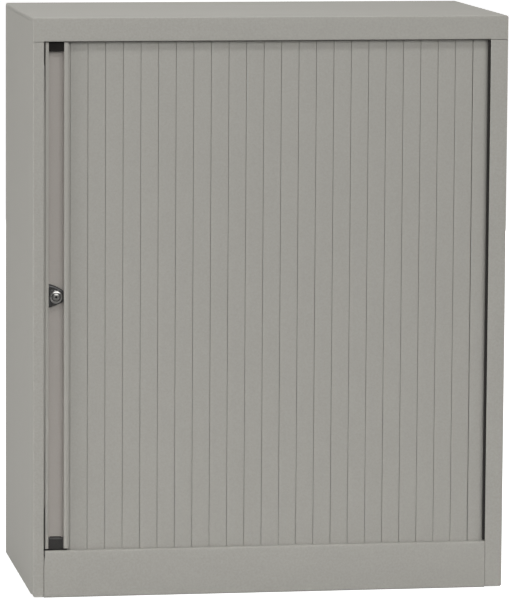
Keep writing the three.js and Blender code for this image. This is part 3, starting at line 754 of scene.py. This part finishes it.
for i in range(curtain["flatCount"]):
    slat = makeSlats(f"slat{i + 1}", slatsLeft + i * curtain["pitch"] - cornerX, 1, curtain["faceGap"])
    finishPiece(slat, None, f"slat_{i + 1}", [f"slat_{i + 1}"])
    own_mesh(slat)
firstSide = slatsLeft + curtain["flatCount"] * curtain["pitch"] - cornerX
sideSlats = makeSlats("sideSlats", firstSide, curtain["sideCount"], curtain["cornerGap"])
sideNodes = [f"side_slat_{i + 1}" for i in range(curtain["sideCount"])]
finishPiece(sideSlats, None, "cabinet", sideNodes)

# Black sheets behind the right stile and under the header, which fill the gap to the curtain: painted shade,
# standing in for the shadow in those gaps

shadeSheet = {
    "reach": 3.2 * mm,           # how far the side shade sheet shows past the stile
    "held": 9 * mm,
    "near": 2.4 * mm,
    "play": 0.5 * mm,
    "foot": 84 * mm,
    "head": 957 * mm,
    "drop": 1.2 * mm,            # how far the head shade sheet shows under the lip
    "raised": 4 * mm,
    "behindLip": 6.6 * mm,
    "capPlay": 2.5 * mm,
}


def makeShadeSheet(name, corners):
    piece = blockPiece(*corners)
    piece.name = name
    piece.data.materials.append(shadeSheetFinish)
    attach(piece, "cabinet")


makeShadeSheet("sideSeal", (
    openingRight - shadeSheet["reach"], openingRight + shadeSheet["held"], front + shadeSheet["near"],
    curtainFront - shadeSheet["play"], shadeSheet["foot"], shadeSheet["head"],
))
makeShadeSheet("headShadeSheet", (
    openingLeft, openingRight - shadeSheet["reach"], front + shadeSheet["behindLip"], curtainFront - shadeSheet["capPlay"],
    openingTop - shadeSheet["drop"], openingTop + shadeSheet["raised"],
))
print("tambour and seals made")

# Leading strip with its finger groove

strip = {
    "left": openingLeft + curtain["stripGap"],
    "face": front + 3 * mm,
    "foot": 85.1 * mm,
    "top": 957.2 * mm,
    "leftLip": 6 * mm,
    "rightLip": 7.2 * mm,
    "lipRadius": 1.0 * mm,
    "grooveFloor": front + 13.5 * mm,
    "grooveRadius": 2.4 * mm,
    "grooveShadeStart": 0.9 * mm,      # how far behind the face the groove's painted shade begins
    "grooveShadePlay": 0.2 * mm,
    "slatPlay": 0.1 * mm,
    "chamfer": 0.3 * mm,
    "shoulder": 1.7 * mm,
    "socketTurn": 0.95,          # radians, from the middle of the mouth to the shoulder
    "flange": 1.8 * mm,          # the side flange's width, and its depths behind the face
    "flangeRoot": 1.3 * mm,
    "flangeFront": 1.5 * mm,
    "flangeBack": 5 * mm,
    "footTaper": 270 * mm,
    "topTaper": 150 * mm,
    "taperStart": 1 * mm,        # depths behind the face at a taper's two ends
    "taperDepth": 7 * mm,
    "taperRise": 9,              # each taper runs on past its end by its length over this
    "bore": 9.3 * mm,
    "capRound": 5 * mm,
    "capDrop": 2.8 * mm,
    "capEdge": 0.5 * mm,
}
stripRight = strip["left"] + curtain["stripWidth"]
grooveLeft = strip["left"] + strip["leftLip"]
grooveRight = stripRight - strip["rightLip"]
stripRear = curtainFront + bead["depth"] + socketOuter
lockX = (grooveLeft + grooveRight) / 2
lockZ = 520.8 * mm


def discY(name, x, z, radius, near, far, sides=64):
    outline = arcPoints(x, z, radius, 0, 2 * pi, sides)[:-1]
    return prismPiece(name, outline, near, far, alongY)


def makeStrip():
    lip, round_, mouth = strip["lipRadius"], strip["grooveRadius"], bead["mouth"]
    left, face, floor = strip["left"], strip["face"], strip["grooveFloor"]
    socketX, socketY = slatsLeft - bead["inset"], curtainFront + bead["depth"]
    shoulder = slatsLeft - strip["slatPlay"]
    shelf = curtainFront + strip["slatPlay"]
    flangeLeft = left - strip["flange"]
    outline = (
        arcPoints(left + lip, face + lip, lip, -pi, -pi / 2, 6)
        + arcPoints(grooveLeft - lip, face + lip, lip, -pi / 2, 0, 6)
        + arcPoints(grooveLeft + round_, floor - round_, round_, pi, pi / 2, 8)
        + arcPoints(grooveRight - round_, floor - round_, round_, pi / 2, 0, 8)
        + arcPoints(grooveRight + lip, face + lip, lip, -pi, -pi / 2, 6)
        + arcPoints(stripRight - lip, face + lip, lip, -pi / 2, 0, 6)
        + [(stripRight, shelf), (shoulder - strip["chamfer"], shelf), (shoulder, shelf + strip["chamfer"]),
           (shoulder, curtainFront + strip["shoulder"])]
        + arcPoints(socketX, socketY, socketOuter, -strip["socketTurn"], -mouth, 2)
        + arcPoints(socketX, socketY, socketInner, -mouth, mouth - 2 * pi, 12)
        + arcPoints(socketX, socketY, socketOuter, mouth, pi / 2, 6)
        + [(left, socketY + socketOuter), (left, face + strip["flangeBack"]),
           (flangeLeft, face + strip["flangeBack"]), (flangeLeft, face + strip["flangeFront"]),
           (left, face + strip["flangeRoot"])]
    )
    piece = prismPiece("leadingStrip", outline, strip["foot"], strip["top"], alongZ)
    # the side flange falls back towards both ends
    for end, way in ((strip["foot"], strip["footTaper"]), (strip["top"], -strip["topTaper"])):
        past = end - way / strip["taperRise"]
        wedge = [
            (face, past), (face + strip["taperDepth"], past),
            (face + strip["taperStart"], end + way), (face, end + way),
        ]
        cutAway(piece, prismPiece("wedge", wedge, left - 3 * overrun, left - hair, alongX))
    cutAway(piece, discY("bore", lockX, lockZ, strip["bore"], floor - 2 * overrun, stripRear + 2 * overrun))
    piece.data.materials.clear()
    piece.data.materials.append(stripPaint)
    piece.data.materials.append(grooveShadePaint)
    # faces inside the groove take the darker finish: painted shade
    play = strip["grooveShadePlay"]
    for polygon in piece.data.polygons:
        spot = polygon.center
        across = grooveLeft - play < spot.x < grooveRight + play
        deep = face + strip["grooveShadeStart"] < spot.y < floor + play
        polygon.material_index = int(across and deep and abs(polygon.normal.z) < 0.5)
    shadeByAngle(piece.data)
    return piece


def makeFootCap():
    # its upper front edge is broadly rounded, down to the floor of the groove
    piece = cleanCopy("bottom_strip_cap", "footCap", 0)
    low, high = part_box("bottom_strip_cap")
    radius = strip["capRound"]
    top = high[2] - strip["capDrop"]
    outline = arcPoints(low[1] + radius, top - radius, radius, -pi, -1.5 * pi, 12) + [
        (high[1] + overrun, top), (high[1] + overrun, high[2] + overrun),
        (low[1] - overrun, high[2] + overrun), (low[1] - overrun, top - radius),
    ]
    cutAway(piece, prismPiece("corner", outline, low[0] - overrun, high[0] + overrun, alongX))
    addBevel(piece, strip["capEdge"])
    return piece


finishPiece(makeStrip(), None, "door", ["leading_strip"])
topCap = cleanCopy("top_strip_cap", "topCap", strip["capEdge"])
finishPiece(topCap, blackPlasticAndHoleShade, "door", ["top_strip_cap"])
finishPiece(makeFootCap(), capPlastic, "door", ["bottom_strip_cap"])
print("leading strip made")

# Lock: bezel in the groove, bright barrel, plug with its key hole

lock = {
    "flangeRadius": 11.5 * mm,
    "flangeThickness": 2.5 * mm,
    "flangeFace": front + 5.2 * mm,
    "barrelRadius": 9 * mm,
    "length": 24.5 * mm,
    "rimSlope": 9.4 * mm,        # radius of the rim's curve, between these slants in degrees
    "rimSlants": (12, 36),
    "rimSteps": 10,
    "rimInset": 0.3 * mm,
    "rimWall": 0.45 * mm,
    "dishDepth": 1.9 * mm,
    "dishEdge": (0.45 * mm, 1.2 * mm),
    "dishLip": (0.15 * mm, 0.15 * mm),
    "plugRadius": 6.2 * mm,
    "plugEdge": 0.3 * mm,
    "domeHeight": 1.1 * mm,
    "domeSteps": 12,
    "studRadius": 3.6 * mm,
    "studLength": 3.9 * mm,
    "keyHoleRadius": 2.0 * mm,
    "keySlot": (1.1 * mm, 5.2 * mm),
    "keyDepth": 9 * mm,
    "holeShadeDepth": 3 * mm,         # deeper than this the key hole's end faces are painted black, as its walls are: painted shade in the hole
    "holeShadeMargin": 2 * mm,        # and the faces this near to the plug's edge stay bright
    "nutEdge": 0.4 * mm,
    "camEdge": 0.25 * mm,
    "strikeEdge": 0.2 * mm,
}


def turnedY(name, profile, sides=64):
    # profile is (radius, way back from the flange face), closed
    verts, faces = [], []
    count, face = len(profile), lock["flangeFace"]
    for k in range(sides):
        angle = 2 * pi * k / sides
        verts += [(lockX + r * cos(angle), face + way, lockZ + r * sin(angle)) for r, way in profile]
        nextK = (k + 1) % sides
        faces += [
            (k * count + i, k * count + (i + 1) % count, nextK * count + (i + 1) % count, nextK * count + i)
            for i in range(count)
        ]
    piece = newPiece(name, verts, faces)
    pointOutwards(piece.data)
    shadeByAngle(piece.data, meshing["turnedAngle"])
    return piece


def makeBarrel():
    # a dished face inside a broad sloping rim
    bore = lock["plugRadius"] + cabinet["fit"]
    outer, barrel, thick = lock["flangeRadius"], lock["barrelRadius"], lock["flangeThickness"]
    slope = lock["rimSlope"]
    first, last = (radians(slant) for slant in lock["rimSlants"])
    inside = outer - lock["rimInset"] - slope * (sin(last) - sin(first))
    rim = []
    for k in range(lock["rimSteps"] + 1):
        angle = first + (last - first) * k / lock["rimSteps"]
        rim.append((inside + slope * (sin(angle) - sin(first)), slope * (cos(first) - cos(angle))))
    dish = [(bore, lock["dishDepth"])]
    dish += [(inside - inset, way) for inset, way in (lock["dishEdge"], lock["dishLip"])]
    edge = [(outer, rim[-1][1] + lock["rimWall"]), (outer, thick), (barrel, thick), (barrel, lock["length"])]
    return turnedY("lockBarrel", [(bore, lock["length"])] + dish + rim + edge)


def makePlug():
    # a domed face with the key hole through it
    radius, dome, stud = lock["plugRadius"], lock["domeHeight"], lock["studRadius"]
    curve = (radius ** 2 + dome ** 2) / (2 * dome)
    spread = asin(radius / curve)
    turns = [spread * k / lock["domeSteps"] for k in range(lock["domeSteps"] + 1)]
    face = [(curve * sin(turn), curve * (1 - cos(turn))) for turn in turns]
    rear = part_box("lock_plug")[1][1] - lock["flangeFace"]
    shoulder = rear - lock["studLength"]
    piece = turnedY("lockPlug", face + [
        (radius, dome + lock["plugEdge"]), (radius, shoulder), (stud, shoulder), (stud, rear), (0, rear),
    ])
    near, far = lock["flangeFace"] - 2 * overrun, lock["flangeFace"] + lock["keyDepth"]
    halfX, halfZ = (size / 2 for size in lock["keySlot"])
    cutAway(
        piece,
        discY("keyHole", lockX, lockZ, lock["keyHoleRadius"], near, far, 32),
        blockPiece(lockX - halfX, lockX + halfX, near, far, lockZ - halfZ, lockZ + halfZ),
    )
    piece.data.materials.clear()
    piece.data.materials.append(plugMetal)
    piece.data.materials.append(blackPlasticAndHoleShade)
    # the key hole's walls and deep end faces are painted black: painted shade in the hole
    for polygon in piece.data.polygons:
        spot = polygon.center
        reach = Vector((spot.x - lockX, spot.z - lockZ)).length
        wall = abs(polygon.normal.y) < 0.5 or spot.y > lock["flangeFace"] + lock["holeShadeDepth"]
        inHole = reach < radius - lock["holeShadeMargin"] and spot.y < far + hair
        polygon.material_index = int(wall and inHole)
    shadeByAngle(piece.data, meshing["crispAngle"])
    return piece


bezel = {
    "top": (22 * mm, 10.6 * mm, 1.6),      # edge above the lock centre: left, right and power of its fall
    "foot": (18.2 * mm, 8.6 * mm, 1.25),   # and below it
    "thickness": 5.2 * mm,
    "ledge": 1.9 * mm,
    "ledgeDepth": 2.4 * mm,
    "edge": 2.4 * mm,
    "edgeDepth": 1.0 * mm,
    "edgeSide": 0.2 * mm,
    "footShare": 0.25,           # of ledge and edge along the foot
    "steps": 24,
    "softEdge": 0.25 * mm,
}


def makeBezel():
    # an escutcheon with a lower ledge round its raised face, its top and foot falling to the right
    fit = cabinet["fit"]
    left, right = grooveLeft + fit, grooveRight - fit
    rear = strip["grooveFloor"] - fit
    face = rear - bezel["thickness"]

    def line(y, side, way, edge, inset):
        start, end, power = edge
        points = []
        for k in range(bezel["steps"] + 1):
            x = left + side + (right - left - 2 * side) * k / bezel["steps"]
            height = start + (end - start) * ((x - left) / (right - left)) ** power - inset
            points.append((x, y, lockZ + way * height))
        return points

    def ring(y, side, inset):
        foot = line(y, side, -1, bezel["foot"], inset * bezel["footShare"])
        return line(y, side, 1, bezel["top"], inset) + foot[::-1]

    ledge, edge = bezel["ledge"], bezel["edge"]
    step = face + bezel["ledgeDepth"]
    round_ = rear + fit - strip["grooveRadius"]
    rings = [
        ring(rear, strip["grooveRadius"], 0), ring(round_, strip["grooveRadius"], 0), ring(round_, 0, 0),
        ring(step, 0, 0), ring(step, 0, ledge), ring(face + bezel["edgeDepth"], 0, ledge),
        ring(face, bezel["edgeSide"], ledge + edge),
    ]
    count = len(rings[0])
    verts = [point for points in rings for point in points]
    faces = [tuple(range(count)), tuple(range((len(rings) - 1) * count, len(rings) * count))]
    for i in range(len(rings) - 1):
        near, far = i * count, (i + 1) * count
        faces += [(near + k, near + (k + 1) % count, far + (k + 1) % count, far + k) for k in range(count)]
    piece = newPiece("lockBezel", verts, faces)
    pointOutwards(piece.data)
    cutAway(piece, discY("bore", lockX, lockZ, lock["barrelRadius"] + fit, face - overrun, rear + overrun))
    shadeByAngle(piece.data, meshing["crispAngle"])
    addBevel(piece, bezel["softEdge"], meshing["crispAngle"])
    return piece


finishPiece(makeBezel(), bezelPlastic, "door", ["lock_bezel"])
finishPiece(makeBarrel(), chrome, "door", ["lock_barrel"])
finishPiece(makePlug(), None, "lock", ["lock_plug"])
finishPiece(cleanCopy("lock_nut", "lockNut", lock["nutEdge"]), zinc, "door", ["lock_nut"])
finishPiece(cleanCopy("lock_cam", "lockCam", lock["camEdge"]), zinc, "lock", ["lock_cam"])
print("lock made")

# Inside and behind: the CAD shapes with softened edges and their own finishes

insides = {                      # width of each one's softened edges
    "back_panel": 0.3 * mm,
    "rear_plinth_rail": 0.3 * mm,
    "right_liner": 0.25 * mm,
    "back_liner": 0.25 * mm,
    "inner_floor": 0.3 * mm,
    "left_front_upright": 0.2 * mm,
    "left_rear_upright": 0.2 * mm,
    "right_front_upright": 0.2 * mm,
    "right_rear_upright": 0.2 * mm,
    "lower_shelf": 0.3 * mm,
    "upper_shelf": 0.3 * mm,
}
plainNodes = {                   # CAD nodes shown as they are
    "base_pan": paint, "ceiling_pan": paint, "bottom_track": trackPlastic, "top_track": trackPlastic,
    "bottom_closing_buffer": bufferRubber, "top_closing_buffer": bufferRubber,
}


def camelName(node):
    first, *others = node.split("_")
    return first + "".join(word.title() for word in others)


for node, soft in insides.items():
    finishPiece(cleanCopy(node, camelName(node), soft), paint, "cabinet", [node])
strikePlate = cleanCopy("strike_plate", "strikePlate", lock["strikeEdge"])
finishPiece(strikePlate, zinc, "cabinet", ["strike_plate"])
for node, material in plainNodes.items():
    nodes[node].data.materials.clear()
    nodes[node].data.materials.append(material)
print("inside made")

# Floor, lamps and camera

studio = {
    "floorReach": 60,
    "floorColour": (0.45, 0.45, 0.45),
    "floorRoughness": 0.9,
    "floorSheen": 0.1,
    "floorLift": 0.9,
    "worldStrength": 0.26,
}
lamps = {                        # place, what it points at, width and height, power, spread in degrees
    "keyLamp": ((2.2, -11.0, 7.0), (0, 0, 0.5), (11.0, 4.4), 722, 180),
    "topLamp": ((-0.2, 0.9, 3.1), (0, 0.1, 1.0), (1.8, 1.8), 27, 180),
    "ledgeLamp": ((0.0, -2.0, 4.2), (0, -0.3, 0.0), (3.0, 0.6), 60, 180),
    "leftLamp": ((-4.6, -0.9, 0.7), (0, 0, 0.35), (2.2, 2.2), 152, 180),
    "frontLamp": ((0.2, -6.0, 0.5), (0, 0, -0.45), (2.4, 0.6), 2.0, 26),
    "rightLamp": ((4.6, 1.2, 0.5), (0, 0, 0.45), (2.4, 0.8), 60, 180),
    "backLamp": ((1.5, 5.4, 0.5), (0, 0, 0.45), (3.0, 0.8), 85, 180),
}


def makeFloor():
    reach = studio["floorReach"]
    corners = [(-reach, -reach, 0), (reach, -reach, 0), (reach, reach, 0), (-reach, reach, 0)]
    floor = newPiece("studioFloor", corners, [(0, 1, 2, 3)])
    material, tree, shader = newMaterial("studioWhite")
    feed(tree, shader, {
        "Base Color": (*studio["floorColour"], 1), "Roughness": studio["floorRoughness"],
        "Specular IOR Level": studio["floorSheen"],
    })
    # camera rays see the floor with a lift added, so that it is near white and keeps the shadow
    rays = addNode(tree, "ShaderNodeLightPath")
    lift = addNode(tree, "ShaderNodeEmission", {"Strength": studio["floorLift"]})
    both = addNode(tree, "ShaderNodeAddShader", {0: shader.outputs[0], 1: lift.outputs[0]})
    mix = addNode(tree, "ShaderNodeMixShader", {
        0: rays.outputs["Is Camera Ray"], 1: shader.outputs[0], 2: both.outputs[0],
    })
    feed(tree, tree.nodes["Material Output"], {"Surface": mix.outputs[0]})
    floor.data.materials.append(material)


def makeWorld():
    world = bpy.data.worlds.new("studioWorld")
    bpy.context.scene.world = world
    world.use_nodes = True
    tree = world.node_tree
    rays = addNode(tree, "ShaderNodeLightPath")
    seen = mathNode(tree, "MAXIMUM", rays.outputs["Is Camera Ray"], rays.outputs["Is Transmission Ray"])
    strength = addNode(tree, "ShaderNodeMapRange", {
        "Value": seen, "To Min": studio["worldStrength"], "To Max": 1,
    })
    feed(tree, tree.nodes["Background"], {"Color": (1, 1, 1, 1), "Strength": strength.outputs[0]})


def makeLamps():
    for name, (place, target, size, power, spread) in lamps.items():
        data = bpy.data.lights.new(name, "AREA")
        data.shape = "RECTANGLE"
        data.size, data.size_y = size
        data.energy = power
        data.spread = radians(spread)
        lamp = bpy.data.objects.new(name, data)
        bpy.context.scene.collection.objects.link(lamp)
        aim = (Vector(target) - Vector(place)).to_track_quat("-Z", "Y")
        lamp.matrix_world = Matrix.Translation(place) @ aim.to_matrix().to_4x4()


photoView = {
    "place": (-1.264, -7.581, 1.464),
    "yaw": 8.496,
    "pitch": 6.597,
    "roll": 0.253,
    "focalPixels": 4375,
    "longSide": 599,
    "sensor": 36,
    "shift": (0.13, -0.085),
    "clipEnd": 60,
}


def makeCamera():
    data = bpy.data.cameras.new("photoCamera")
    data.sensor_width = photoView["sensor"]
    data.lens = photoView["focalPixels"] / photoView["longSide"] * data.sensor_width
    data.shift_x, data.shift_y = photoView["shift"]
    data.clip_end = photoView["clipEnd"]
    camera = bpy.data.objects.new("photoCamera", data)
    bpy.context.scene.collection.objects.link(camera)
    turn = (
        Matrix.Rotation(-radians(photoView["yaw"]), 4, "Z")
        @ Matrix.Rotation(pi / 2 - radians(photoView["pitch"]), 4, "X")
        @ Matrix.Rotation(radians(photoView["roll"]), 4, "Z")
    )
    camera.matrix_world = Matrix.Translation(photoView["place"]) @ turn
    bpy.context.scene.camera = camera


makeFloor()
makeWorld()
makeLamps()
makeCamera()
bpy.context.scene.view_settings.view_transform = "Standard"
print("studio made")
